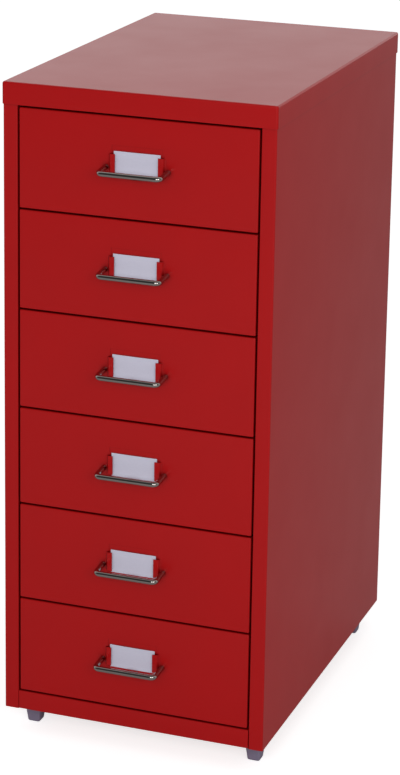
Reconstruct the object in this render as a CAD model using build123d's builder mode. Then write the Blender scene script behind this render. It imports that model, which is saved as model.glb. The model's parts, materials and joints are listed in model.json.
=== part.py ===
from build123d import *
from math import atan, degrees
import os

# Small steel cabinet with six drawers, standing on four feet.
# Lengths are in millimetres. +Z is up and the drawers face -Y. The origin is on the floor,
# in the middle of the outline seen from above, with the handles counted.

# Cabinet
width = 280.0  # across the top panel
depth = 410.0  # front to back, over the top panel
body_height = 653.0  # underside of the body to the top face
sheet = 0.8  # steel thickness of every folded panel
fold = 1.4  # outside radius of the folds
panel_clearance = 0.2  # between the skirt of the top panel and the panels inside it
top_fold = 2.0  # outside radius round the edge of the top face
top_skirt = 22.0  # height of the top panel's skirt
top_return = 12.0  # turned in along the lower edge of the front skirt
post_width = 15.1  # front posts, each the folded edge of a side panel
post_return = 18.0  # how far the inner face of a post runs back
rear_flange = 15.0  # turned in along the rear of a side panel
rail_height = 20.0  # front rail, the turned-up front of the base panel
rail_return = 12.0
rail_gap = 0.3  # seam between the rail and each post
base_flange = 15.0  # turned up along the sides and rear of the base panel

# Drawers
drawers = 6
top_gap = 2.0  # above the top drawer
drawer_gap = 1.6  # between drawers, and under the last
side_gap = 1.6  # between a drawer front and a post
front_depth = 12.0  # folded edge round the drawer front
drawer_depth = 385.0  # face of the drawer to the outside of its back wall
tray_rise = 5.0  # underside of the tray above the lower edge of the front
tray_height = 76.0
tray_lip = 7.0  # turned-out top edge that slides in the runners
lip_clearance = 0.3  # outer edge of that lip to the folded edge of the front
travel = 325.0  # how far a drawer slides out

# Runners
runner_back_set = 1.5  # behind the inner face of the post
runner_clearance = 1.0  # between the wall of the tray and the runner
runner_height = 6.0  # inside the channel
runner_drop = 5.0  # turned-down inner edge of the ledge
runner_hold = 3.2  # how far the upper flange reaches over the tray's lip
slide_clearance = 0.2  # under the tray's lip
stop_clearance = 0.3  # left at the stops, drawer shut and drawer open
stop_drop = 3.5  # front stop, down from the upper flange
catch_height = 4.2  # raised catch on the tray's lip
catch_width = 4.0

# Handles
handle_pitch = 64.0  # between the legs
handle_wire = 5.0
handle_projection = 24.5  # face of the drawer to the front of the bar
handle_drop = 2.5  # bar below the feet of the legs
handle_stub = 4.0  # square to the face before the leg slopes
handle_bend = 6.0  # radius of the bends, on the centre of the wire
handle_screw = 3.0
handle_screw_grip = 7.0  # depth of the tapped end
screw_clearance = 0.05  # radial, round every screw and rivet
screw_head = 6.0
screw_head_height = 1.8
screw_head_bevel = 0.7

# Labels
label_width = 50.0
label_height = 24.0
label_thick = 0.5
label_rise = 16.5  # top edge of the card above the middle of the drawer front
label_ear = 3.2  # height of the card that shows above the lips
label_cover = 3.0  # how far each lip reaches over the card
label_slot = 1.6  # between the face of the drawer and the back of a lip
lip_flat = 5.0  # width of the raised part of a lip
lip_slope = 1.5  # width of the joggle that raises it
lip_root = 1.0  # flat beside the joggle, in the face of the drawer
lip_margin = 1.5  # lower end of the lips above the lower edge of the card
lance_gap = 0.5  # between a lanced piece and the edge of its window
recess_depth = 0.3  # pressed seat behind the card
recess_margin = 1.0
recess_rise = 5.3  # seat above the card
rest_width = 12.0  # lanced rest under the card
rest_reach = 2.0

# Feet
foot_height = 27.0
foot_top = 20.0
foot_bottom = 12.6
foot_corner = 2.0
foot_edge = 1.5  # bevel round the sole
foot_inset_side = 20.0  # centre of a foot to the side of the top panel
foot_inset_end = 36.5  # centre of a foot to the front or back of the top panel
foot_screw = 5.0
foot_screw_head = 7.6
foot_screw_head_height = 3.0
foot_bore_depth = 16.0  # counterbore up from the sole
foot_bore_clearance = 0.3  # radial, round the screw head
foot_screw_end = 1.5  # thread showing above the nut
nut_flats = 8.0
nut_height = 4.0

# Rivets in the back panel
rivet = 3.2
rivet_head = 6.4
rivet_head_height = 0.9
rivet_head_bevel = 0.6
rivet_tail = 1.2  # set end inside the flange
rivet_tail_width = 4.6
rivet_end_inset = 30.0  # first and last rivet from the ends of the back panel
rivets_per_side = 3

# Planes that the pieces share
lap = sheet + panel_clearance
front = (lap + handle_projection - depth) / 2  # faces of the posts and drawers
rear = front + depth - 2 * lap  # outside of the back panel
centre_y = front - lap + depth / 2
top = foot_height + body_height
side = width / 2 - lap  # outside of a side panel, from the middle
wall = side - sheet  # inside of a side panel
opening = side - post_width  # inner face of a post, from the middle
opening_top = top - top_skirt
opening_bottom = foot_height + rail_height
panel_top = top - top_fold  # side and back panels end where the top fold begins
flange_face = rear - sheet  # back panel seats here on the rear flanges
base_rear = flange_face - sheet
back_half = side - fold  # the back panel covers the flat of the rear flanges

face_half = opening - side_gap
face_height = (opening_top - opening_bottom - top_gap - drawers * drawer_gap) / drawers
pitch = face_height + drawer_gap

lip_half = face_half - sheet - lip_clearance  # outer edge of the tray's lip
tray_half = lip_half - tray_lip
tray_front = front + sheet  # front wall of the tray seats on the back of the face
tray_back = front + drawer_depth

runner_front = front + post_return + runner_back_set
runner_stop = tray_back + stop_clearance
runner_rear = runner_stop + sheet
runner_edge = tray_half + runner_clearance + sheet
runner_lip = lip_half - runner_hold
catch_front = runner_front + sheet + stop_clearance + travel

seat_x = handle_pitch / 2
lip_inner = label_width / 2 - label_cover
lip_outer = lip_inner + lip_flat + lip_slope

foot_x = width / 2 - foot_inset_side
foot_y = depth / 2 - foot_inset_end
foot_places = [(x, centre_y + y) for x in (-foot_x, foot_x) for y in (-foot_y, foot_y)]

rivet_x = side - rear_flange / 2
rivet_first = foot_height + rivet_end_inset
rivet_step = (panel_top - rivet_end_inset - rivet_first) / (rivets_per_side - 1)
rivet_places = [(x, rivet_first + n * rivet_step)
                for x in (-rivet_x, rivet_x) for n in range(rivets_per_side)]

os.makedirs("parts", exist_ok=True)


def folded(points, on_left=True):
    """Section of a folded sheet, with its outer face along the points."""
    with BuildSketch() as section:
        with BuildLine():
            FilletPolyline(*points, radius=fold)
            offset(amount=sheet, side=Side.LEFT if on_left else Side.RIGHT)
        make_face()
    return section.sketch


def face_bottom(number):
    """Height of the lower edge of a drawer front; drawer 1 is at the top."""
    return opening_bottom + drawer_gap + (drawers - number) * pitch


def upright(y):
    """Plane square to Y at y, seen from the front; positive extrusion comes forward."""
    return Plane.XZ.offset(-y)


# Top panel: a pan with its open side down. The front skirt is turned in along its lower edge.
with BuildPart() as top_panel:
    with BuildSketch(Plane.XY.offset(opening_top)):
        with Locations((0, centre_y)):
            Rectangle(width, depth)
    extrude(amount=top_skirt)
    fillet(top_panel.edges().filter_by(Axis.Z), fold + lap)
    fillet(top_panel.faces().sort_by(Axis.Z)[-1].edges(), top_fold)
    offset(amount=-sheet, openings=top_panel.faces().sort_by(Axis.Z)[0])
    with BuildSketch(Plane.XY.offset(opening_top)):
        with Locations((0, front - lap + sheet / 2)):
            Rectangle(2 * (opening - panel_clearance), top_return,
                      align=(Align.CENTER, Align.MIN))
    extrude(amount=sheet)
top_panel.part.label = "top_panel"
export_step(top_panel.part, "parts/top_panel.step")

# Side panels: rear flange, side wall, front post and the return behind the post.
for name, hand in (("left", -1), ("right", 1)):
    with BuildPart() as side_panel:
        with BuildSketch(Plane.XY.offset(foot_height)):
            add(folded([
                (hand * (side - rear_flange), flange_face),
                (hand * side, flange_face),
                (hand * side, front),
                (hand * opening, front),
                (hand * opening, front + post_return),
            ], on_left=hand < 0))
        extrude(amount=panel_top - foot_height)
        with BuildSketch(upright(flange_face)):
            with Locations(*[place for place in rivet_places if place[0] * hand > 0]):
                Circle(rivet / 2 + screw_clearance)
        extrude(amount=sheet, mode=Mode.SUBTRACT)
    side_panel.part.label = f"{name}_side_panel"
    export_step(side_panel.part, f"parts/{name}_side_panel.step")

# Base panel: the floor with the front rail folded up between the posts.
with BuildPart() as base_panel:
    with BuildSketch(Plane.YZ.offset(-opening + rail_gap)):
        add(folded([
            (front + rail_return, opening_bottom),
            (front, opening_bottom),
            (front, foot_height),
            (base_rear, foot_height),
            (base_rear, foot_height + base_flange),
        ]))
    extrude(amount=2 * (opening - rail_gap))
    with BuildSketch(upright(base_rear - fold)):
        add(folded([
            (-wall, foot_height + base_flange),
            (-wall, foot_height),
            (wall, foot_height),
            (wall, foot_height + base_flange),
        ]))
    extrude(amount=base_rear - fold - runner_front)
    with BuildSketch(Plane.XY.offset(foot_height)):
        with Locations(*foot_places):
            Circle(foot_screw / 2 + screw_clearance)
    extrude(amount=sheet, mode=Mode.SUBTRACT)
base_panel.part.label = "base_panel"
export_step(base_panel.part, "parts/base_panel.step")

# Back panel: a flat sheet riveted to the rear flanges, its top edge inside the skirt.
with BuildPart() as back_panel:
    with BuildSketch(upright(rear)):
        with Locations((0, foot_height)):
            Rectangle(2 * back_half, panel_top - foot_height, align=(Align.CENTER, Align.MIN))
        with Locations(*rivet_places):
            Circle(rivet / 2 + screw_clearance, mode=Mode.SUBTRACT)
    extrude(amount=sheet)
back_panel.part.label = "back_panel"
export_step(back_panel.part, "parts/back_panel.step")

with BuildPart() as back_rivets:
    with BuildSketch(upright(rear)):
        with Locations(*rivet_places):
            Circle(rivet_head / 2)
    extrude(amount=-rivet_head_height)
    chamfer(back_rivets.faces().sort_by(Axis.Y)[-len(rivet_places):].edges(), rivet_head_bevel)
    with BuildSketch(upright(rear)):
        with Locations(*rivet_places):
            Circle(rivet / 2)
    extrude(amount=2 * sheet)
    with BuildSketch(upright(base_rear)):
        with Locations(*rivet_places):
            Circle(rivet_tail_width / 2)
    extrude(amount=rivet_tail)
back_rivets.part.label = "back_rivets"
export_step(back_rivets.part, "parts/back_rivets.step")

# Feet: tapered square blocks, each bored from the sole for a screw and held by a nut inside.
foot_taper = -degrees(atan((foot_top - foot_bottom) / 2 / foot_height))
for (x, y), place in zip(foot_places, ("front_left", "back_left", "front_right", "back_right")):
    with BuildPart() as foot:
        with BuildSketch():
            with Locations((x, y)):
                RectangleRounded(foot_bottom, foot_bottom, foot_corner)
        extrude(amount=foot_height, taper=foot_taper)
        chamfer(foot.faces().sort_by(Axis.Z)[0].edges(), foot_edge)
        with Locations(Plane(origin=(x, y, 0), z_dir=(0, 0, -1))):
            CounterBoreHole(
                radius=foot_screw / 2 + screw_clearance,
                counter_bore_radius=foot_screw_head / 2 + foot_bore_clearance,
                counter_bore_depth=foot_bore_depth,
            )
    foot.part.label = f"foot_{place}"
    export_step(foot.part, f"parts/foot_{place}.step")

nut_seat = foot_height + sheet
with BuildPart() as foot_screws:
    with BuildSketch(Plane.XY.offset(foot_bore_depth)):
        with Locations(*foot_places):
            Circle(foot_screw_head / 2)
    extrude(amount=-foot_screw_head_height)
    with BuildSketch(Plane.XY.offset(foot_bore_depth)):
        with Locations(*foot_places):
            Circle(foot_screw / 2)
    extrude(amount=nut_seat + nut_height + foot_screw_end - foot_bore_depth)
foot_screws.part.label = "foot_screws"
export_step(foot_screws.part, "parts/foot_screws.step")

with BuildPart() as foot_nuts:
    with BuildSketch(Plane.XY.offset(nut_seat)):
        with Locations(*foot_places):
            RegularPolygon(nut_flats / 2, 6, major_radius=False)
            Circle(foot_screw / 2 + screw_clearance, mode=Mode.SUBTRACT)
    extrude(amount=nut_height)
foot_nuts.part.label = "foot_nuts"
export_step(foot_nuts.part, "parts/foot_nuts.step")

for number in range(1, drawers + 1):
    bottom = face_bottom(number)
    middle = bottom + face_height / 2
    lip_top = bottom + tray_rise + tray_height  # top of the tray's turned-out edges
    run = lip_top - sheet - slide_clearance  # upper face of the runner's ledge
    run_top = run + runner_height + sheet
    label_top = middle + label_rise
    label_foot = label_top - label_height
    hook_top = label_top - label_ear
    hook_height = hook_top - label_foot - lip_margin

    # Drawer front: a shallow pan. Two lanced lips hold the label card, which drops in from
    # above into a pressed seat and stands on a lanced rest.
    with BuildPart() as drawer_front:
        with BuildSketch(upright(front)):
            with Locations((0, middle)):
                Rectangle(2 * face_half, face_height)
        extrude(amount=-front_depth)
        fillet(drawer_front.edges().filter_by(Axis.Y), fold)
        fillet(drawer_front.faces().sort_by(Axis.Y)[0].edges(), fold)
        offset(amount=-sheet, openings=drawer_front.faces().sort_by(Axis.Y)[-1])
        with BuildSketch(upright(front)):
            with Locations((0, label_top + recess_rise)):
                Rectangle(label_width + 2 * recess_margin, label_height + recess_rise,
                          align=(Align.CENTER, Align.MAX))
        extrude(amount=-recess_depth, mode=Mode.SUBTRACT)
        with BuildSketch(upright(front)):
            for hand in (-1, 1):
                with Locations((hand * (lip_inner + lip_outer - lance_gap) / 2, hook_top)):
                    Rectangle(lip_outer - lip_inner + lance_gap, hook_height,
                              align=(Align.CENTER, Align.MAX))
            with Locations((0, label_foot - sheet)):
                Rectangle(rest_width, rest_reach + sheet, align=(Align.CENTER, Align.MAX))
            with Locations((-seat_x, middle), (seat_x, middle)):
                Circle(handle_screw / 2 + screw_clearance)
        extrude(amount=-sheet, mode=Mode.SUBTRACT)
        raised = front - label_slot - sheet
        with BuildSketch(Plane.XY.offset(hook_top)):
            for hand in (-1, 1):
                with BuildLine():
                    FilletPolyline(
                        (hand * (lip_outer + lip_root), front),
                        (hand * lip_outer, front),
                        (hand * (lip_outer - lip_slope), raised),
                        (hand * lip_inner, raised),
                        radius=sheet,
                    )
                    offset(amount=sheet, side=Side.LEFT if hand < 0 else Side.RIGHT)
                make_face()
        extrude(amount=-hook_height)
        with BuildSketch(Plane.XY.offset(label_foot)):
            with Locations((0, front - rest_reach)):
                Rectangle(rest_width, rest_reach + sheet, align=(Align.CENTER, Align.MIN))
        extrude(amount=-sheet)
    drawer_front.part.label = f"drawer_front_{number}"
    export_step(drawer_front.part, f"parts/drawer_front_{number}.step")

    with BuildPart() as label_card:
        with BuildSketch(upright(front + recess_depth)):
            with Locations((0, label_foot)):
                Rectangle(label_width, label_height, align=(Align.CENTER, Align.MIN))
        extrude(amount=label_thick)
    label_card.part.label = f"label_card_{number}"
    export_step(label_card.part, f"parts/label_card_{number}.step")

    # Tray: floor, front wall and side walls, the side walls turned out along the top. Near the
    # rear each of those edges has a raised catch that meets the front stop of the runner.
    with BuildPart() as drawer_tray:
        with BuildSketch(Plane.XY.offset(bottom + tray_rise)):
            with Locations((0, tray_front)):
                Rectangle(2 * tray_half, tray_back - tray_front, align=(Align.CENTER, Align.MIN))
        extrude(amount=tray_height)
        fillet(drawer_tray.edges().filter_by(Axis.Z).sort_by(Axis.Y)[:2], fold)
        fillet(drawer_tray.faces().sort_by(Axis.Z)[0].edges().sort_by(Axis.Y)[:-1], fold)
        offset(amount=-sheet, openings=[
            drawer_tray.faces().sort_by(Axis.Z)[-1],
            drawer_tray.faces().sort_by(Axis.Y)[-1],
        ])
        for hand in (-1, 1):
            with BuildSketch(Plane.XZ.offset(-tray_back)):
                add(folded([
                    (hand * lip_half, lip_top),
                    (hand * (tray_half - sheet), lip_top),
                    (hand * (tray_half - sheet), lip_top - tray_height / 4),
                ], on_left=hand > 0))
            extrude(amount=tray_back - tray_front - fold)
            with BuildSketch(Plane.XY.offset(lip_top - sheet)):
                with Locations((hand * (lip_half - catch_width / 2), catch_front)):
                    Rectangle(catch_width, sheet + catch_height,
                              align=(Align.CENTER, Align.MIN))
            extrude(amount=sheet, mode=Mode.SUBTRACT)
            with BuildSketch(Plane.XY.offset(lip_top - sheet)):
                with Locations((hand * (lip_half - catch_width / 2), catch_front)):
                    Rectangle(catch_width, sheet, align=(Align.CENTER, Align.MIN))
            extrude(amount=sheet + catch_height)
        with BuildSketch(upright(tray_front)):
            with Locations((-seat_x, middle), (seat_x, middle)):
                Circle(handle_screw / 2 + screw_clearance)
        extrude(amount=-sheet, mode=Mode.SUBTRACT)
    drawer_tray.part.label = f"drawer_tray_{number}"
    export_step(drawer_tray.part, f"parts/drawer_tray_{number}.step")

    # Rear wall: a flat sheet let in between the side walls of the tray, standing on its floor.
    with BuildPart() as drawer_back:
        with BuildSketch(upright(tray_back)) as back_outline:
            with Locations((0, lip_top)):
                Rectangle(2 * (tray_half - sheet), tray_height - sheet,
                          align=(Align.CENTER, Align.MAX))
            fillet(back_outline.vertices(), fold)
        extrude(amount=sheet)
    drawer_back.part.label = f"drawer_back_{number}"
    export_step(drawer_back.part, f"parts/drawer_back_{number}.step")

    # Handle: one bent wire whose square ends stand on the face, tapped for the screws.
    bar = front - handle_projection + handle_wire / 2
    with BuildPart() as handle:
        with BuildLine() as wire:
            FilletPolyline(
                (-seat_x, front, middle),
                (-seat_x, front - handle_stub, middle),
                (-seat_x, bar, middle - handle_drop),
                (seat_x, bar, middle - handle_drop),
                (seat_x, front - handle_stub, middle),
                (seat_x, front, middle),
                radius=handle_bend,
            )
        with BuildSketch(upright(front)):
            with Locations((-seat_x, middle)):
                Circle(handle_wire / 2)
        sweep(path=wire.wires()[0])
        for x in (-seat_x, seat_x):
            with Locations(Plane(origin=(x, front, middle), z_dir=(0, 1, 0))):
                Hole(radius=handle_screw / 2 + screw_clearance, depth=handle_screw_grip)
    handle.part.label = f"handle_{number}"
    export_step(handle.part, f"parts/handle_{number}.step")

    with BuildPart() as handle_screws:
        seats = [(-seat_x, middle), (seat_x, middle)]
        with BuildSketch(upright(tray_front + sheet)):
            with Locations(*seats):
                Circle(screw_head / 2)
        extrude(amount=-screw_head_height)
        chamfer(handle_screws.faces().sort_by(Axis.Y)[-len(seats):].edges(), screw_head_bevel)
        with BuildSketch(upright(tray_front + sheet)):
            with Locations(*seats):
                Circle(handle_screw / 2)
        extrude(amount=2 * sheet + handle_screw_grip - stop_clearance)
    handle_screws.part.label = f"handle_screws_{number}"
    export_step(handle_screws.part, f"parts/handle_screws_{number}.step")

    # Runners: channels on the side walls, with a stop turned down at the front end of the
    # upper flange and one turned in across the rear end.
    for name, hand in (("left", -1), ("right", 1)):
        with BuildPart() as runner:
            with BuildSketch(upright(runner_front)):
                add(folded([
                    (hand * runner_edge, run - sheet - runner_drop),
                    (hand * runner_edge, run - sheet),
                    (hand * wall, run - sheet),
                    (hand * wall, run_top),
                    (hand * runner_lip, run_top),
                ], on_left=hand > 0))
            extrude(amount=runner_front - runner_rear)
            with BuildSketch(upright(runner_front)):
                with Locations((hand * (runner_lip + lip_half) / 2, run_top)):
                    Rectangle(lip_half - runner_lip, sheet + stop_drop,
                              align=(Align.CENTER, Align.MAX))
            extrude(amount=-sheet)
            with BuildSketch(upright(runner_stop)):
                with Locations((hand * (runner_lip + wall - sheet) / 2, run)):
                    Rectangle(wall - sheet - runner_lip, runner_height,
                              align=(Align.CENTER, Align.MIN))
            extrude(amount=-sheet)
        runner.part.label = f"runner_{name}_{number}"
        export_step(runner.part, f"parts/runner_{name}_{number}.step")
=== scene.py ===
"""Looks of a small red steel cabinet with six drawers.

The sheet-metal pieces take their shape from the frame. The wire handles, label cards,
fastener heads and moulded feet are surfaces worked out here. Lengths are in metres.
"""

import json
import logging
import math
from dataclasses import dataclass
from enum import Enum
from functools import lru_cache

import bmesh
import bpy
import numpy as np
from mathutils import Matrix, Vector


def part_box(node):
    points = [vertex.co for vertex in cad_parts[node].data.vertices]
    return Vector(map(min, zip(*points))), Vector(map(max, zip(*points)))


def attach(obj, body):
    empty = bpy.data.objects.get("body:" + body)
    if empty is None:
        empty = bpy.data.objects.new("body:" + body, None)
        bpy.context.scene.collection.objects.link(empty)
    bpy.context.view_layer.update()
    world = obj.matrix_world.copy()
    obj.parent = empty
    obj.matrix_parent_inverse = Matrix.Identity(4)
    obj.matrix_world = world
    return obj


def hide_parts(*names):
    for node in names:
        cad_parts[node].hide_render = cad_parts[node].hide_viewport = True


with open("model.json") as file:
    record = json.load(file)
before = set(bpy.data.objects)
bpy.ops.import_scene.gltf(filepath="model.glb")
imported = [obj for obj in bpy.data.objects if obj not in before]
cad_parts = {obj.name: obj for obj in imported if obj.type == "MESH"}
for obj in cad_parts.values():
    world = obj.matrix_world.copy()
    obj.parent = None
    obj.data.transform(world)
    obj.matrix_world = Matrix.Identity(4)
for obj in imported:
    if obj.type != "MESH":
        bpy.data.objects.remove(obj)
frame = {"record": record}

MM = 0.001
DRAWERS = range(1, 7)
CABINET = "cabinet"
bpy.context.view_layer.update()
WHITE = (1.0, 1.0, 1.0, 1.0)
NOISE_MIDDLE = 0.5
MIX_SHARE, MIX_FIRST, MIX_SECOND, MIX_RESULT = 0, 6, 7, 2  # sockets of a Mix node on colours
log = logging.getLogger("cabinet")


class Slot(Enum):
    """Material slots of the record."""

    RED_PAINT = "red_paint"
    CHROMED_WIRE = "chromed_wire"
    ZINC_STEEL = "zinc_steel"
    RIVET_ALUMINIUM = "rivet_aluminium"
    GREY_PLASTIC = "grey_plastic"
    CARD = "card"


# ---------------------------------------------------------------- node trees


class Value:
    """A number socket that takes part in Python expressions; each operator adds a Math node."""

    def __init__(self, sheet: "NodeSheet", socket: bpy.types.NodeSocket) -> None:
        """Wraps a socket.

        Args:
            sheet: The node tree that the socket belongs to.
            socket: An output socket that holds a number.
        """
        self.sheet = sheet
        self.socket = socket

    def _math(self, operation: str, *values: "Value | float", clamp: bool = False) -> "Value":
        """One Math node over the given values.

        Args:
            operation: Name of the node's operation.
            values: Its inputs, in order.
            clamp: Whether the result is kept between 0 and 1.

        Returns:
            The node's result.
        """
        settings = {"operation": operation, "use_clamp": clamp}
        node = self.sheet.add("ShaderNodeMath", settings, dict(enumerate(values)))
        return Value(self.sheet, node.outputs[0])

    def __add__(self, other: "Value | float") -> "Value":
        """Sum."""
        return self._math("ADD", self, other)

    def __radd__(self, other: float) -> "Value":
        """Sum with a number on the left."""
        return self._math("ADD", other, self)

    def __sub__(self, other: "Value | float") -> "Value":
        """Difference."""
        return self._math("SUBTRACT", self, other)

    def __rsub__(self, other: float) -> "Value":
        """Difference from a number on the left."""
        return self._math("SUBTRACT", other, self)

    def __mul__(self, other: "Value | float") -> "Value":
        """Product."""
        return self._math("MULTIPLY", self, other)

    def __rmul__(self, other: float) -> "Value":
        """Product with a number on the left."""
        return self._math("MULTIPLY", other, self)

    def larger(self, other: "Value | float") -> "Value":
        """The larger of two values."""
        return self._math("MAXIMUM", self, other)

    def held(self) -> "Value":
        """The value kept between 0 and 1."""
        return self._math("ADD", self, 0.0, clamp=True)


class NodeSheet:
    """The node tree of one finish or of the surroundings."""

    def __init__(self, tree: bpy.types.NodeTree) -> None:
        """Empties a tree.

        Args:
            tree: The node tree to fill.
        """
        self.tree = tree
        tree.nodes.clear()

    def add(self, kind: str, settings: dict | None = None,
            values: dict | None = None) -> bpy.types.Node:
        """Adds a node, sets it, then fills its sockets.

        Args:
            kind: The node's type.
            settings: Properties, such as a Math node's operation, to set first.
            values: Socket name or number to a number, a tuple, a Value or another node's socket.

        Returns:
            The new node.
        """
        node = self.tree.nodes.new(kind)
        for name, setting in (settings or {}).items():
            setattr(node, name, setting)
        for name, value in (values or {}).items():
            if isinstance(value, Value):
                self.tree.links.new(value.socket, node.inputs[name])
            elif isinstance(value, bpy.types.NodeSocket):
                self.tree.links.new(value, node.inputs[name])
            else:
                node.inputs[name].default_value = value
        return node

    def place(self) -> bpy.types.NodeSocket:
        """The point on the piece, in the piece's own metres."""
        return self.add("ShaderNodeTexCoord").outputs["Object"]

    def noise(self, place: bpy.types.NodeSocket, cell: float, detail: float = 2.0) -> Value:
        """Cloudy noise.

        Args:
            place: The points that it is read at.
            cell: Width of its cells.
            detail: Number of finer layers.

        Returns:
            A value round NOISE_MIDDLE, from about 0.2 to about 0.8.
        """
        values = {"Vector": place, "Scale": 1 / cell, "Detail": detail}
        return Value(self, self.add("ShaderNodeTexNoise", None, values).outputs[0])

    def stretched(self, place: bpy.types.NodeSocket,
                  scale: tuple[float, float, float]) -> bpy.types.NodeSocket:
        """Points with each axis scaled, so that a pattern read there is drawn out."""
        return self.add("ShaderNodeMapping", None, {"Vector": place, "Scale": scale}).outputs[0]

    def mixed(self, share: Value, first: "tuple | bpy.types.NodeSocket",
              second: "tuple | bpy.types.NodeSocket") -> bpy.types.NodeSocket:
        """A colour between two.

        Args:
            share: Share of the second colour.
            first: A colour, as red, green and blue, or a colour socket.
            second: The other colour.

        Returns:
            The colour socket.
        """
        ends = [(*end, 1.0) if isinstance(end, tuple) else end for end in (first, second)]
        values = {MIX_SHARE: share, MIX_FIRST: ends[0], MIX_SECOND: ends[1]}
        return self.add("ShaderNodeMix", {"data_type": "RGBA"}, values).outputs[MIX_RESULT]

    def openness(self, reach: float, samples: int = 8) -> Value:
        """How open a point is to the light round it.

        Args:
            reach: How far away a surface still stands in the light's way.
            samples: Rays sent out from the point.

        Returns:
            A value from 0 in a tight corner to 1 in the open.
        """
        settings = {"samples": samples}
        node = self.add("ShaderNodeAmbientOcclusion", settings, {"Distance": reach})
        return Value(self, node.outputs["AO"])

    def bumped(self, height: Value, depth: float) -> bpy.types.NodeSocket:
        """A normal from a height.

        Args:
            height: Height over the surface, from 0 to 1.
            depth: What a height of 1 stands for.

        Returns:
            The normal socket.
        """
        values = {"Height": height, "Distance": depth, "Strength": 1.0}
        return self.add("ShaderNodeBump", None, values).outputs["Normal"]


class Finish:
    """What the finishes share: a name and a Principled surface."""

    name: str

    def values(self, sheet: NodeSheet) -> dict:
        """Socket values of the surface.

        Args:
            sheet: The material's node tree.

        Returns:
            Socket name to value.
        """
        raise NotImplementedError

    def material(self) -> bpy.types.Material:
        """The finish as a material.

        Returns:
            A new material.
        """
        made = bpy.data.materials.new(self.name)
        made.use_nodes = True
        sheet = NodeSheet(made.node_tree)
        surface = sheet.add("ShaderNodeBsdfPrincipled", None, self.values(sheet))
        sheet.add("ShaderNodeOutputMaterial", None, {"Surface": surface.outputs[0]})
        return made


@lru_cache(maxsize=None)
def material_of(finish: Finish) -> bpy.types.Material:
    """The one material of a finish.

    Args:
        finish: The finish.

    Returns:
        Its material, made once.
    """
    return finish.material()


@dataclass(frozen=True)
class PowderCoat(Finish):
    """Semi-gloss red powder coat: fine orange peel over sheet that is never quite flat."""

    name: str = "red_powder_coat"
    colour: tuple[float, float, float] = (0.47, 0.0024, 0.0036)
    deeper: tuple[float, float, float] = (0.43, 0.0019, 0.0029)
    # Painted shade: the dark colour taken in seams, gaps and under the lid's skirt, where little
    # light reaches.
    painted_shade: tuple[float, float, float] = (0.1, 0.0004, 0.0006)
    painted_shade_reach: float = 5.0 * MM
    roughness: float = 0.3
    roughness_change: float = 0.08
    ior: float = 1.345
    peel_cell: float = 1.1 * MM
    peel_detail: float = 1.0
    peel_depth: float = 0.0035 * MM
    wave_cell: float = 120 * MM
    wave_detail: float = 0.0
    wave_depth: float = 0.25 * MM
    cloud_cell: float = 60 * MM

    def values(self, sheet: NodeSheet) -> dict:
        """Colour and roughness drift slowly, and painted shade darkens seams, gaps and corners.

        The height is the noise of the peel, scaled by its depth over the waves' depth, plus
        the noise of the sheet's slow waves.

        Args:
            sheet: The material's node tree.

        Returns:
            Socket name to value.
        """
        place = sheet.place()
        cloud = sheet.noise(place, self.cloud_cell)
        peel = sheet.noise(place, self.peel_cell, self.peel_detail)
        wave = sheet.noise(place, self.wave_cell, self.wave_detail)
        height = peel * (self.peel_depth / self.wave_depth) + wave
        # Painted shade: where ambient occlusion finds surfaces close by, the coat's colour goes
        # towards the dark painted shade colour.
        openness = sheet.openness(self.painted_shade_reach)
        coat = sheet.mixed(cloud, self.colour, self.deeper)
        return {
            "Base Color": sheet.mixed(openness, self.painted_shade, coat),
            "Roughness": self.roughness + (cloud - NOISE_MIDDLE) * self.roughness_change,
            "IOR": self.ior,
            "Normal": sheet.bumped(height, self.wave_depth),
        }


@dataclass(frozen=True)
class ChromePlate(Finish):
    """Bright chrome on drawn wire, with faint marks along the draw."""

    name: str = "chrome_plate"
    colour: tuple[float, float, float] = (0.44, 0.41, 0.385)
    duller: tuple[float, float, float] = (0.34, 0.315, 0.295)
    roughness: float = 0.07
    roughness_change: float = 0.1
    mark_cell: float = 0.4 * MM
    mark_depth: float = 0.0015 * MM
    mark_stretch: float = 0.05

    def values(self, sheet: NodeSheet) -> dict:
        """Marks are noise drawn out along the bar.

        Args:
            sheet: The material's node tree.

        Returns:
            Socket name to value.
        """
        along = sheet.stretched(sheet.place(), (self.mark_stretch, 1.0, 1.0))
        marks = sheet.noise(along, self.mark_cell)
        return {
            "Base Color": sheet.mixed(marks, self.colour, self.duller),
            "Metallic": 1.0,
            "Roughness": self.roughness + (marks - NOISE_MIDDLE) * self.roughness_change,
            "Normal": sheet.bumped(marks, self.mark_depth),
        }


@dataclass(frozen=True)
class PlainMetal(Finish):
    """A bare or plated fastener metal with cloudy dulling."""

    name: str
    colour: tuple[float, float, float]
    duller: tuple[float, float, float]
    roughness: float
    roughness_change: float = 0.15
    cloud_cell: float = 0.9 * MM
    grain_cell: float = 0.25 * MM
    grain_depth: float = 0.004 * MM

    def values(self, sheet: NodeSheet) -> dict:
        """Dulling and grain are two sizes of noise.

        Args:
            sheet: The material's node tree.

        Returns:
            Socket name to value.
        """
        place = sheet.place()
        cloud = sheet.noise(place, self.cloud_cell)
        return {
            "Base Color": sheet.mixed(cloud, self.colour, self.duller),
            "Metallic": 1.0,
            "Roughness": self.roughness + (cloud - NOISE_MIDDLE) * self.roughness_change,
            "Normal": sheet.bumped(sheet.noise(place, self.grain_cell), self.grain_depth),
        }


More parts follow.
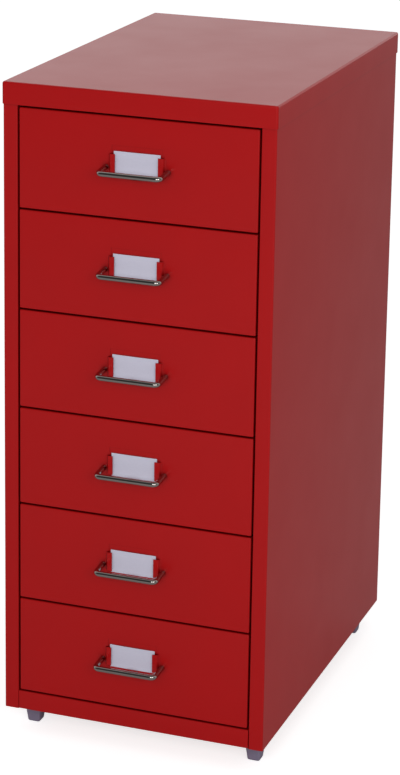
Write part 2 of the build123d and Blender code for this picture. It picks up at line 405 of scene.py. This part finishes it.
@dataclass(frozen=True)
class MouldedPlastic(Finish):
    """Grey moulded plastic with a fine spark-eroded grain."""

    name: str = "grey_moulded_plastic"
    colour: tuple[float, float, float] = (0.21, 0.175, 0.262)
    paler: tuple[float, float, float] = (0.28, 0.24, 0.34)
    roughness: float = 0.5
    roughness_change: float = 0.1
    grain_cell: float = 0.35 * MM
    grain_depth: float = 0.02 * MM

    def values(self, sheet: NodeSheet) -> dict:
        """The grain lightens its high points a little.

        Args:
            sheet: The material's node tree.

        Returns:
            Socket name to value.
        """
        grain = sheet.noise(sheet.place(), self.grain_cell)
        return {
            "Base Color": sheet.mixed(grain, self.colour, self.paler),
            "Roughness": self.roughness + (grain - NOISE_MIDDLE) * self.roughness_change,
            "Normal": sheet.bumped(grain, self.grain_depth),
        }


@dataclass(frozen=True)
class PaperCard(Finish):
    """Uncoated white card with short fibres lying mostly across it."""

    name: str = "white_card"
    colour: tuple[float, float, float] = (0.62, 0.605, 0.74)
    paler: tuple[float, float, float] = (0.7, 0.685, 0.81)
    roughness: float = 0.8
    specular: float = 0.3
    fibre_cell: float = 0.5 * MM
    fibre_detail: float = 3.0
    fibre_stretch: float = 0.2
    fibre_depth: float = 0.02 * MM

    def values(self, sheet: NodeSheet) -> dict:
        """Fibres are fine noise drawn out along X.

        Args:
            sheet: The material's node tree.

        Returns:
            Socket name to value.
        """
        across = sheet.stretched(sheet.place(), (self.fibre_stretch, 1.0, 1.0))
        fibres = sheet.noise(across, self.fibre_cell, self.fibre_detail)
        return {
            "Base Color": sheet.mixed(fibres, self.colour, self.paler),
            "Roughness": self.roughness,
            "Specular IOR Level": self.specular,
            "Normal": sheet.bumped(fibres, self.fibre_depth),
        }


ZINC_PLATE = PlainMetal("zinc_plate", (0.58, 0.58, 0.6), (0.45, 0.46, 0.5), 0.32)
SATIN_ALUMINIUM = PlainMetal("satin_aluminium", (0.66, 0.66, 0.68), (0.55, 0.55, 0.58), 0.38)


# ------------------------------------------------------------------ surfaces


@dataclass
class Surface:
    """Points and faces of one or more surfaces."""

    points: np.ndarray
    quads: np.ndarray
    triangles: np.ndarray

    def facing_out(self) -> "Surface":
        """The surface, which has to be closed, with its faces pointing outwards.

        The signed volume is the sum, over the faces cut into triangles, of a sixth of
        the triple product of the corners. A negative sum means that all faces are turned.

        Returns:
            This surface, or one with every face turned.
        """
        cut = np.vstack([self.quads[:, [0, 1, 2]], self.quads[:, [0, 2, 3]], self.triangles])
        a, b, c = (self.points[cut[:, corner]] for corner in range(3))
        if np.einsum("ij,ij->i", a, np.cross(b, c)).sum() >= 0:
            return self
        return Surface(self.points, self.quads[:, ::-1], self.triangles[:, ::-1])

    def named(self, name: str) -> bpy.types.Object:
        """The surface as a smooth-shaded object.

        Args:
            name: Name of the object.

        Returns:
            An object at the origin, in the scene.
        """
        mesh = bpy.data.meshes.new(name)
        mesh.from_pydata(self.points.tolist(), [], self.quads.tolist() + self.triangles.tolist())
        mesh.validate()
        piece = bpy.data.objects.new(name, mesh)
        bpy.context.scene.collection.objects.link(piece)
        soften(mesh)
        return piece


def soften(mesh: bpy.types.Mesh, sharp: float = math.radians(40)) -> None:
    """Shades a mesh smooth, apart from its sharp edges.

    Args:
        mesh: The mesh.
        sharp: Edges that turn by more than this stay sharp.
    """
    mesh.polygons.foreach_set("use_smooth", np.ones(len(mesh.polygons), bool))
    mesh.set_sharp_from_angle(angle=sharp)
    mesh.update()


def joined(surfaces: list[Surface]) -> Surface:
    """Several surfaces as one.

    Args:
        surfaces: The surfaces.

    Returns:
        One surface, with the face numbers moved on past the points before them.
    """
    starts = np.cumsum([0] + [len(surface.points) for surface in surfaces])
    return Surface(
        np.vstack([surface.points for surface in surfaces]),
        np.vstack([surface.quads + start for surface, start in zip(surfaces, starts)]),
        np.vstack([surface.triangles + start for surface, start in zip(surfaces, starts)]),
    )


def ring_shell(rings: np.ndarray) -> Surface:
    """A closed shell through closed rings of points.

    Each face joins points j and j + 1 of ring i to the same points of ring i + 1. A fan
    to the middle of the first ring and one to the middle of the last close the ends.

    Args:
        rings: Points, as ring, place in the ring, then x, y and z.

    Returns:
        The shell, with its faces outwards.
    """
    count, around = rings.shape[:2]
    index = np.arange(count * around).reshape(count, around)
    onward = np.roll(index, -1, axis=1)
    quads = np.stack([index[:-1], onward[:-1], onward[1:], index[1:]], axis=-1).reshape(-1, 4)
    poles = np.stack([rings[0].mean(axis=0), rings[-1].mean(axis=0)])
    first, last = count * around, count * around + 1
    triangles = np.vstack([
        np.stack([onward[0], index[0], np.full(around, first)], axis=-1),
        np.stack([index[-1], onward[-1], np.full(around, last)], axis=-1),
    ])
    return Surface(np.vstack([rings.reshape(-1, 3), poles]), quads, triangles).facing_out()


def grid_faces(index: np.ndarray) -> np.ndarray:
    """Four-cornered faces between the neighbours of a grid.

    Args:
        index: Numbers of the points, as row and column.

    Returns:
        The faces, one for each cell.
    """
    first, second = slice(None, -1), slice(1, None)
    corners = (first, first), (first, second), (second, second), (second, first)
    return np.stack([index[corner] for corner in corners], axis=-1).reshape(-1, 4)


def slab(front: np.ndarray, back: np.ndarray) -> Surface:
    """A closed body between two grids of the same shape.

    Args:
        front: Points of one face, as row, column, then x, y and z.
        back: Points of the other face.

    Returns:
        Both grids, and a strip of faces round the rim between them.
    """
    rows, columns = front.shape[:2]
    index = np.arange(rows * columns).reshape(rows, columns)
    behind = index + rows * columns
    rim = np.concatenate([index[0, :-1], index[:-1, -1], index[-1, :0:-1], index[:0:-1, 0]])
    after = np.roll(rim, -1)
    strip = np.stack([after, rim, rim + rows * columns, after + rows * columns], axis=-1)
    points = np.vstack([front.reshape(-1, 3), back.reshape(-1, 3)])
    quads = np.vstack([grid_faces(index), grid_faces(behind)[:, ::-1], strip])
    return Surface(points, quads, np.zeros((0, 3), int)).facing_out()


def turned(profile: np.ndarray, centre: np.ndarray, axis: np.ndarray, around: int) -> np.ndarray:
    """Rings of a profile turned round an axis.

    A point at radius r and height h becomes centre + h * axis + r * (cos t * u + sin t * v),
    where u and v are square to the axis and t goes once round. The frame's axis that lies
    furthest from the given one fixes u.

    Args:
        profile: Radius and height of each ring.
        centre: Where height 0 lies.
        axis: Unit direction of height.
        around: Points in a ring.

    Returns:
        The rings.
    """
    u = np.cross(axis, np.eye(3)[np.argmin(np.abs(axis))])
    u /= np.linalg.norm(u)
    v = np.cross(axis, u)
    t = np.arange(around) * (2 * np.pi / around)
    spoke = np.cos(t)[:, None] * u + np.sin(t)[:, None] * v
    radius, height = profile[:, 0, None, None], profile[:, 1, None, None]
    return centre + height * axis + radius * spoke[None]


def rounded_path(corners: np.ndarray, radius: float, steps: int) -> np.ndarray:
    """A path through corners with an arc of one radius at each inner corner.

    With unit directions a into and b out of a corner and half the turn h, the arc starts
    radius * tan h before the corner, and its centre lies radius / cos h from the corner
    along b - a. A point at share s of the arc is the centre plus radius times
    (sin((1 - s) * 2h) * p + sin(s * 2h) * q) / sin 2h, where p and q point from the centre
    to the ends of the arc.

    Args:
        corners: The corners, ends included.
        radius: Radius of the arcs.
        steps: Points on each arc, less one.

    Returns:
        The points of the path.
    """
    runs = np.diff(corners, axis=0)
    runs /= np.linalg.norm(runs, axis=1)[:, None]
    before, after = runs[:-1], runs[1:]
    turn = np.arccos(np.clip(np.einsum("ij,ij->i", before, after), -1, 1))
    cut = radius * np.tan(turn / 2)
    inward = after - before
    inward /= np.linalg.norm(inward, axis=1)[:, None]
    middle = corners[1:-1] + inward * (radius / np.cos(turn / 2))[:, None]
    start = corners[1:-1] - before * cut[:, None] - middle
    end = corners[1:-1] + after * cut[:, None] - middle
    share = np.linspace(0, 1, steps + 1)[None, :, None]
    angle = turn[:, None, None]
    arcs = np.sin((1 - share) * angle) * start[:, None] + np.sin(share * angle) * end[:, None]
    arcs = middle[:, None] + arcs / np.sin(angle)
    return np.vstack([corners[:1], arcs.reshape(-1, 3), corners[-1:]])


def tube(path: np.ndarray, radii: np.ndarray, around: int) -> Surface:
    """A round tube along a path that is nowhere near upright.

    At each point, n is the part of +Z square to the path and b is square to both; the ring
    is the point plus its radius times (cos t * n + sin t * b).

    Args:
        path: Points along the middle.
        radii: Radius at each point.
        around: Points in a ring.

    Returns:
        The closed tube.
    """
    along = np.gradient(path, axis=0)
    along /= np.linalg.norm(along, axis=1)[:, None]
    n = np.array([0.0, 0.0, 1.0]) - along * along[:, 2:]
    n /= np.linalg.norm(n, axis=1)[:, None]
    b = np.cross(along, n)
    t = np.arange(around) * (2 * np.pi / around)
    spoke = np.cos(t)[None, :, None] * n[:, None] + np.sin(t)[None, :, None] * b[:, None]
    return ring_shell(path[:, None] + radii[:, None, None] * spoke)


def corners_of(node: str) -> tuple[np.ndarray, np.ndarray]:
    """Lowest and highest corner of a CAD node, as arrays."""
    low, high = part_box(node)
    return np.array(low), np.array(high)


def dress(piece: bpy.types.Object, finish: Finish, slot: Slot, body: str, *nodes: str) -> None:
    """Finishes a new piece and takes it into the assembly.

    Args:
        piece: The new piece.
        finish: Its finish.
        slot: The record's slot that the finish belongs to; not used.
        body: The body that it rides on.
        nodes: CAD nodes that it stands for.
    """
    piece.data.materials.clear()
    piece.data.materials.append(material_of(finish))
    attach(piece, body)
    if nodes:
        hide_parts(*nodes)
    log.info("%s: %d faces on %s", piece.name, len(piece.data.polygons), body)


# --------------------------------------------------------------- the cabinet


@dataclass
class SheetMetal:
    """The folded and painted steel pieces, shown by merged, smooth-shaded copies."""

    finish: Finish = PowderCoat()
    merge_within: float = 0.002 * MM
    sharp: float = math.radians(30)

    def skin(self, node: str) -> bpy.types.Object:
        """A copy of a CAD node with its loose triangles merged.

        Args:
            node: Name of the node.

        Returns:
            The copy, named after the node.
        """
        source = bpy.data.objects[node]
        mesh = source.data.copy()
        mesh.name = f"{node}_painted"
        work = bmesh.new()
        work.from_mesh(mesh)
        bmesh.ops.remove_doubles(work, verts=work.verts, dist=self.merge_within)
        work.to_mesh(mesh)
        work.free()
        flat_normals = mesh.attributes.get("custom_normal")
        if flat_normals:
            mesh.attributes.remove(flat_normals)
        soften(mesh, self.sharp)
        piece = bpy.data.objects.new(f"{node}_painted", mesh)
        bpy.context.scene.collection.objects.link(piece)
        return piece

    def build(self) -> None:
        """Makes and dresses every painted piece."""
        slots = {part["node"]: part["material_slot"] for part in frame["record"]["subparts"]}
        for body, nodes in frame["record"]["behaviour"]["bodies"].items():
            for node in nodes:
                if slots[node] == Slot.RED_PAINT.value:
                    dress(self.skin(node), self.finish, Slot.RED_PAINT, body, node)


@dataclass
class WireHandle:
    """A pull handle: one round wire bent to a U that droops a little from its feet."""

    number: int
    wire: float = 5.6 * MM
    stub: float = 4.0 * MM
    bend: float = 4.6 * MM
    end_round: float = 0.5 * MM
    end_steps: int = 4
    around: int = 32
    bend_steps: int = 12
    finish: Finish = ChromePlate()

    def corners(self) -> np.ndarray:
        """Corners of the wire's middle line, from the left foot to the right one.

        Returns:
            The six corners, read off the box of the CAD handle.
        """
        low, high = corners_of(f"handle_{self.number}")
        half = self.wire / 2
        seat, foot, bar = high[0] - half, high[2] - half, low[2] + half
        wall, front = high[1], low[1] + half
        return np.array([
            (-seat, wall, foot), (-seat, wall - self.stub, foot), (-seat, front, bar),
            (seat, front, bar), (seat, wall - self.stub, foot), (seat, wall, foot),
        ])

    def surface(self) -> Surface:
        """The wire, with the rim of each end eased by a short quarter round.

        Returns:
            The closed tube.
        """
        path = rounded_path(self.corners(), self.bend, self.bend_steps)
        ease = np.linspace(0, np.pi / 2, self.end_steps + 1)
        into = np.array([0.0, -1.0, 0.0])
        rim = self.wire / 2 - self.end_round * (1 - np.sin(ease))
        inset = (self.end_round * (1 - np.cos(ease)))[:, None] * into
        left, right = path[0] + inset, path[-1] + inset[::-1]
        path = np.vstack([left, path[1:-1], right])
        radii = np.concatenate([rim, np.full(len(path) - 2 * len(rim), self.wire / 2), rim[::-1]])
        return tube(path, radii, self.around)

    def build(self) -> None:
        """Makes and dresses the handle."""
        piece = self.surface().named(f"pull_handle_{self.number}")
        node = f"handle_{self.number}"
        dress(piece, self.finish, Slot.CHROMED_WIRE, f"drawer_{self.number}", node)


@dataclass
class LabelCard:
    """A plain card behind two lips, trimmed a little, bowed forward and leaning out at the top."""

    number: int
    thick: float = 0.35 * MM
    bow: float = 0.35 * MM
    lean: float = 0.2 * MM
    side_trim: float = 1.2 * MM
    top_trim: float = 0.4 * MM
    columns: int = 41
    rows: int = 21
    finish: Finish = PaperCard()

    def face(self, offset: float) -> np.ndarray:
        """One face of the card.

        Over u across and v up, both from 0 to 1, the face comes forward by
        bow * (1 - (2u - 1)^2) + lean * v^3. It covers the box of the CAD card less
        side_trim at each side and top_trim at the top.

        Args:
            offset: How far the face lies in front of the seat.

        Returns:
            Grid of points.
        """
        low, high = corners_of(f"label_card_{self.number}")
        up, across = np.linspace(0, 1, self.rows), np.linspace(0, 1, self.columns)
        v, u = np.meshgrid(up, across, indexing="ij")
        forward = offset + self.bow * (1 - (2 * u - 1) ** 2) + self.lean * v ** 3
        x = low[0] + self.side_trim + u * (high[0] - low[0] - 2 * self.side_trim)
        z = low[2] + v * (high[2] - self.top_trim - low[2])
        return np.stack([x, high[1] - forward, z], axis=-1)

    def build(self) -> None:
        """Makes and dresses the card."""
        piece = slab(self.face(self.thick), self.face(0.0)).named(f"card_{self.number}")
        node = f"label_card_{self.number}"
        dress(piece, self.finish, Slot.CARD, f"drawer_{self.number}", node)


@dataclass
class CrossScrews:
    """The two screws of a handle: domed heads with a cross recess, inside the drawer.

    The rings of a head lie evenly from dome_start to dome_end and then at rim_rings, all
    of them shares of the head's radius.
    """

    number: int
    thread: float = 3.0 * MM
    head: float = 6.0 * MM
    head_height: float = 1.8 * MM
    recess_arm: float = 1.7 * MM
    recess_width: float = 0.38 * MM
    recess_depth: float = 1.0 * MM
    tip_bevel: float = 0.4 * MM
    flatness: float = 0.75
    dome_start: float = 0.03
    dome_end: float = 0.96
    dome_rings: int = 24
    rim_rings: tuple[float, ...] = (0.99, 1.0)
    around: int = 64
    finish: Finish = ZINC_PLATE

    def one(self, x: float, seat_y: float, tip_y: float, z: float) -> Surface:
        """One screw, its axis along Y.

        The head's height over its seat is head_height * sqrt(1 - flatness * (r / R)^2) out
        to the rim R. Within the cross the recess lowers it by recess_depth *
        exp(-(a / w)^4) * sqrt(1 - r / arm), where a is the distance from the middle of the
        nearer arm, w is recess_width and arm is recess_arm.

        Args:
            x: Place of the axis.
            seat_y: Where the underside of the head lies.
            tip_y: Tip of the shank.
            z: Height of the axis.

        Returns:
            The closed screw.
        """
        rim = self.head / 2
        t = np.arange(self.around) * (2 * np.pi / self.around)
        shares = np.linspace(self.dome_start, self.dome_end, self.dome_rings)
        radius = np.concatenate([shares, self.rim_rings]) * rim
        r, angle = np.meshgrid(radius, t, indexing="ij")
        dome = self.head_height * np.sqrt(1 - (r / rim) ** 2 * self.flatness)
        across = np.minimum(np.abs(r * np.cos(angle)), np.abs(r * np.sin(angle)))
        fall = np.sqrt(np.clip(1 - r / self.recess_arm, 0, 1))
        recess = self.recess_depth * np.exp(-((across / self.recess_width) ** 4)) * fall
        top = np.stack([r * np.cos(angle), dome - recess, r * np.sin(angle)], axis=-1)
        thread, tip = self.thread / 2, tip_y - seat_y
        shank = np.array([
            (rim, 0.0), (thread, 0.0), (thread, tip + self.tip_bevel),
            (thread - self.tip_bevel, tip),
        ])
        spoke = np.stack([np.cos(t), np.zeros_like(t), np.sin(t)], axis=-1)
        along = np.array([0.0, 1.0, 0.0])
        lower = shank[:, 0, None, None] * spoke[None] + shank[:, 1, None, None] * along
        return ring_shell(np.vstack([top, lower]) + np.array([x, seat_y, z]))

    def build(self) -> None:
        """Makes and dresses both screws."""
        low, high = corners_of(f"handle_screws_{self.number}")
        z = (low[2] + high[2]) / 2
        seat_y = high[1] - self.head_height
        seats = (low[0] + self.head / 2, high[0] - self.head / 2)
        pair = joined([self.one(x, seat_y, low[1], z) for x in seats])
        piece = pair.named(f"cross_screws_{self.number}")
        node = f"handle_screws_{self.number}"
        dress(piece, self.finish, Slot.ZINC_STEEL, f"drawer_{self.number}", node)


@dataclass
class BlindRivets:
    """Domed rivets of the back panel, each with the broken stem set in its middle.

    stem_rings are shares of the stem's radius. The tail keeps its full radius for the
    share tail_straight of its height and ends at the share tail_end of its radius.
    """

    rows: int = 3
    head: float = 6.4 * MM
    body: float = 3.2 * MM
    tail: float = 4.6 * MM
    head_height: float = 0.9 * MM
    tail_height: float = 1.2 * MM
    stem: float = 1.7 * MM
    stem_set: float = 0.45 * MM
    stem_crown: float = 0.1 * MM
    stem_rings: tuple[float, ...] = (0.3, 0.75, 0.97)
    dome_rings: int = 12
    tail_straight: float = 0.6
    tail_end: float = 0.7
    around: int = 40
    finish: Finish = SATIN_ALUMINIUM

    def profile(self, grip: float) -> np.ndarray:
        """Radius and height of one rivet, from the stem over the head to the set tail.

        Between the stem's hole and the rim the head's height is
        head_height * sqrt(1 - ((r - s) / (R - s))^2), a quarter of an ellipse, where s is
        the stem's radius and R the head's. The stem's end is stem_set lower than the top of
        the head, and its middle rises by stem_crown.

        Args:
            grip: Thickness between the head and the tail.

        Returns:
            The profile.
        """
        stem, rim = self.stem / 2, self.head / 2
        body, tail = self.body / 2, self.tail / 2
        share = np.linspace(0, 1, self.dome_rings)
        rise = self.head_height * np.sqrt(1 - share ** 2)
        dome = np.stack([stem + share * (rim - stem), rise], axis=-1)
        pit = np.full(len(self.stem_rings), self.head_height - self.stem_set)
        pit[0] += self.stem_crown
        inner = np.stack([np.array(self.stem_rings) * stem, pit], axis=-1)
        outer = np.array([
            (body, 0.0), (body, -grip), (tail, -grip),
            (tail, -grip - self.tail_straight * self.tail_height),
            (self.tail_end * tail, -grip - self.tail_height),
        ])
        return np.vstack([inner, dome, outer])

    def build(self) -> None:
        """Makes and dresses all the rivets as one piece."""
        low, high = corners_of("back_rivets")
        seat = high[1] - self.head_height
        grip = seat - low[1] - self.tail_height
        xs = (low[0] + self.head / 2, high[0] - self.head / 2)
        zs = np.linspace(low[2] + self.head / 2, high[2] - self.head / 2, self.rows)
        outward = np.array([0.0, 1.0, 0.0])
        profile = self.profile(grip)
        rivets = [
            ring_shell(turned(profile, np.array([x, seat, z]), outward, self.around))
            for x in xs for z in zs
        ]
        piece = joined(rivets).named("blind_rivets")
        dress(piece, self.finish, Slot.RIVET_ALUMINIUM, CABINET, "back_rivets")


@dataclass
class MouldedFoot:
    """A square tapered foot with eased corners, counterbored from the sole for its screw.

    The bore's end is flat out to the share bore_end of its radius, and bore_crown deeper
    there than at its wall.
    """

    node: str
    bottom: float = 12.6 * MM
    sole_round: float = 1.6 * MM
    bore: float = 8.2 * MM
    bore_depth: float = 15.9 * MM
    bore_end: float = 0.9
    bore_crown: float = 0.1 * MM
    edge: float = 0.3 * MM
    sole_steps: int = 6
    side_steps: int = 8
    roundness: float = 2.0
    squareness: float = 9.0
    around: int = 96
    finish: Finish = MouldedPlastic()

    def surface(self) -> Surface:
        """The foot as rings, down the bore's wall from its end, round the sole and up outside.

        A ring of half-size h has its points at h * (|cos t|^(2/n) * sign cos t,
        |sin t|^(2/n) * sign sin t): n is roundness in the bore, which makes a circle, and
        squareness outside, which makes a square with eased corners. Outside, h grows
        evenly from the sole to the top.

        Returns:
            The closed foot.
        """
        low, high = corners_of(self.node)
        centre = np.array([(low[0] + high[0]) / 2, (low[1] + high[1]) / 2, 0.0])
        top_half, tall = (high[0] - low[0]) / 2, high[2]
        bore = self.bore / 2
        inside = np.array([
            (self.bore_end * bore, self.bore_depth), (bore, self.bore_depth - self.bore_crown),
            (bore, self.edge), (bore + self.edge, 0.0),
        ])
        sole_half = self.bottom / 2
        inset = self.sole_round * (1 - np.sin(np.linspace(0, np.pi / 2, self.sole_steps + 1)))
        up = inset[::-1]
        out = sole_half + (top_half - sole_half) * up / tall - inset
        outside = np.linspace(self.sole_round, tall - self.edge, self.side_steps + 1)[1:]
        sides = sole_half + (top_half - sole_half) * outside / tall
        half = np.concatenate([inside[:, 0], out, sides, [top_half - self.edge]])
        height = np.concatenate([inside[:, 1], up, outside, [tall]])
        power = np.full(len(half), self.squareness)
        power[:len(inside)] = self.roundness
        t = (np.arange(self.around) + 0.5) * (2 * np.pi / self.around)
        bent = 2 / power[:, None]
        x = np.sign(np.cos(t)) * np.abs(np.cos(t)) ** bent * half[:, None]
        y = np.sign(np.sin(t)) * np.abs(np.sin(t)) ** bent * half[:, None]
        z = np.broadcast_to(height[:, None], x.shape)
        return ring_shell(np.stack([x, y, z], axis=-1) + centre)

    def build(self) -> None:
        """Makes and dresses the foot."""
        piece = self.surface().named(self.node.replace("foot_", "moulded_foot_"))
        dress(piece, self.finish, Slot.GREY_PLASTIC, CABINET, self.node)


@dataclass
class FootFixings:
    """The screws and nuts of the feet, kept as the frame has them and plated."""

    nodes: tuple[str, ...] = ("foot_screws", "foot_nuts")
    finish: Finish = ZINC_PLATE

    def build(self) -> None:
        """Plates the nodes."""
        for node in self.nodes:
            bpy.data.objects[node].data.materials.clear()
            bpy.data.objects[node].data.materials.append(material_of(self.finish))
            log.info("%s: plated", node)


# ---------------------------------------------------------------- the studio


@dataclass
class Studio:
    """Pale floor, soft lamps and white surroundings."""

    floor_half: float = 6.0
    floor_points: int = 9
    floor_colour: float = 0.8
    floor_mirrored: float = 0.58
    floor_lift: float = 0.7
    sky_level: float = 0.42
    ahead_level: float = 0.06
    behind_level: float = 1.0
    behind_share: float = 0.6
    behind_slope: float = 1.2
    key_power: float = 14.5
    key_size: float = 0.9
    key_places: tuple[tuple[float, float, float], ...] = ((0.45, -2.65, 1.35), (1.65, -2.3, 1.35))
    key_aim: tuple[float, float, float] = (0.0, 0.0, 0.34)

    def floor(self) -> None:
        """A wide pale floor: dimmer in the object's gloss, and lifted to white for the camera."""
        side = np.linspace(-self.floor_half, self.floor_half, self.floor_points)
        y, x = np.meshgrid(side, side, indexing="ij")
        faces = grid_faces(np.arange(x.size).reshape(x.shape))
        points = np.stack([x, y, np.zeros_like(x)], axis=-1).reshape(-1, 3)
        piece = Surface(points, faces, np.zeros((0, 3), int)).named("studio_floor")
        made = bpy.data.materials.new("studio_floor")
        made.use_nodes = True
        sheet = NodeSheet(made.node_tree)
        path = sheet.add("ShaderNodeLightPath")
        mirrored = Value(sheet, path.outputs["Is Glossy Ray"])
        grey = sheet.mixed(mirrored, (self.floor_colour,) * 3, (self.floor_mirrored,) * 3)
        plain = sheet.add("ShaderNodeBsdfDiffuse", None, {"Color": grey})
        glow = {"Color": WHITE, "Strength": self.floor_lift}
        lift = sheet.add("ShaderNodeEmission", None, glow)
        lifted = sheet.add("ShaderNodeAddShader", None, {0: plain.outputs[0], 1: lift.outputs[0]})
        seen = path.outputs["Is Camera Ray"]
        choice = {0: seen, 1: plain.outputs[0], 2: lifted.outputs[0]}
        both = sheet.add("ShaderNodeMixShader", None, choice)
        sheet.add("ShaderNodeOutputMaterial", None, {"Surface": both.outputs[0]})
        piece.data.materials.append(made)

    def surroundings(self) -> None:
        """Light all round: white to the camera, and even to plain surfaces.

        To gloss, its level goes from ahead_level to behind_level with the share
        behind_share + behind_slope * y of the direction, kept between 0 and 1.
        """
        world = bpy.data.worlds.new("studio")
        bpy.context.scene.world = world
        world.use_nodes = True
        sheet = NodeSheet(world.node_tree)
        direction = sheet.add("ShaderNodeTexCoord").outputs["Generated"]
        parts = sheet.add("ShaderNodeSeparateXYZ", None, {0: direction})
        y = Value(sheet, parts.outputs["Y"])
        behind = (y * self.behind_slope + self.behind_share).held()
        level = self.ahead_level + behind * (self.behind_level - self.ahead_level)
        path = sheet.add("ShaderNodeLightPath")
        seen = Value(sheet, path.outputs["Is Camera Ray"])
        mirrored = Value(sheet, path.outputs["Is Glossy Ray"]).larger(
            Value(sheet, path.outputs["Is Transmission Ray"]))
        strength = self.sky_level + mirrored * (level - self.sky_level)
        strength = strength + seen * (1 - strength)
        light = sheet.add("ShaderNodeBackground", None, {"Color": WHITE, "Strength": strength})
        sheet.add("ShaderNodeOutputWorld", None, {"Surface": light.outputs[0]})

    def lamp(self, name: str, place: tuple, aim: tuple, power: float, size: float) -> None:
        """A square soft lamp.

        Args:
            name: Its name.
            place: Where it stands.
            aim: The point it faces.
            power: Its power in watts.
            size: Its side.
        """
        light = bpy.data.lights.new(name, "AREA")
        light.shape = "SQUARE"
        light.size = size
        light.energy = power
        holder = bpy.data.objects.new(name, light)
        holder.location = place
        holder.rotation_euler = (Vector(aim) - Vector(place)).to_track_quat("-Z", "Y").to_euler()
        bpy.context.scene.collection.objects.link(holder)

    def build(self) -> None:
        """Sets up floor, surroundings and lamps."""
        self.floor()
        self.surroundings()
        for number, place in enumerate(self.key_places, start=1):
            self.lamp(f"key_lamp_{number}", place, self.key_aim, self.key_power, self.key_size)
        bpy.context.scene.view_settings.view_transform = "Standard"
        log.info("studio: ready")


@dataclass
class PhotoCamera:
    """The camera, at the photograph's viewing angle."""

    azimuth: float = 19.75
    elevation: float = 14.62
    roll: float = 0.93
    distance: float = 2.663
    aim: tuple[float, float, float] = (-9.0 * MM, 11.75 * MM, 514.0 * MM)
    focal_pixels: float = 2579.0
    shift_pixels: float = -175.0
    picture_height: float = 775.0
    sensor: float = 36.0

    def build(self) -> None:
        """Places the camera: back along its line of sight from the aim, then rolled."""
        azimuth, elevation = math.radians(self.azimuth), math.radians(self.elevation)
        roll = math.radians(self.roll)
        back = Vector((
            math.sin(azimuth) * math.cos(elevation),
            -math.cos(azimuth) * math.cos(elevation),
            math.sin(elevation),
        ))
        level = Vector((0.0, 0.0, 1.0)).cross(back).normalized()
        upright = back.cross(level)
        right = math.cos(roll) * level + math.sin(roll) * upright
        up = -math.sin(roll) * level + math.cos(roll) * upright
        place = Vector(self.aim) + back * self.distance
        data = bpy.data.cameras.new("photo_camera")
        data.sensor_width = self.sensor
        data.lens = self.focal_pixels * self.sensor / self.picture_height
        data.shift_y = self.shift_pixels / self.picture_height
        data.dof.use_dof = False
        camera = bpy.data.objects.new("photo_camera", data)
        turn = Matrix((right, up, back)).transposed()
        camera.matrix_world = Matrix.Translation(place) @ turn.to_4x4()
        bpy.context.scene.collection.objects.link(camera)
        bpy.context.scene.camera = camera
        log.info("camera: %.1f mm lens", data.lens)


def main() -> None:
    """Builds the pieces, the studio and the camera."""
    logging.basicConfig(level=logging.INFO, format="%(message)s")
    PhotoCamera().build()
    Studio().build()
    SheetMetal().build()
    for number in DRAWERS:
        WireHandle(number).build()
        LabelCard(number).build()
        CrossScrews(number).build()
    BlindRivets().build()
    for place in ("front_left", "front_right", "back_left", "back_right"):
        MouldedFoot(f"foot_{place}").build()
    FootFixings().build()


if __name__ == "__main__":
    main()
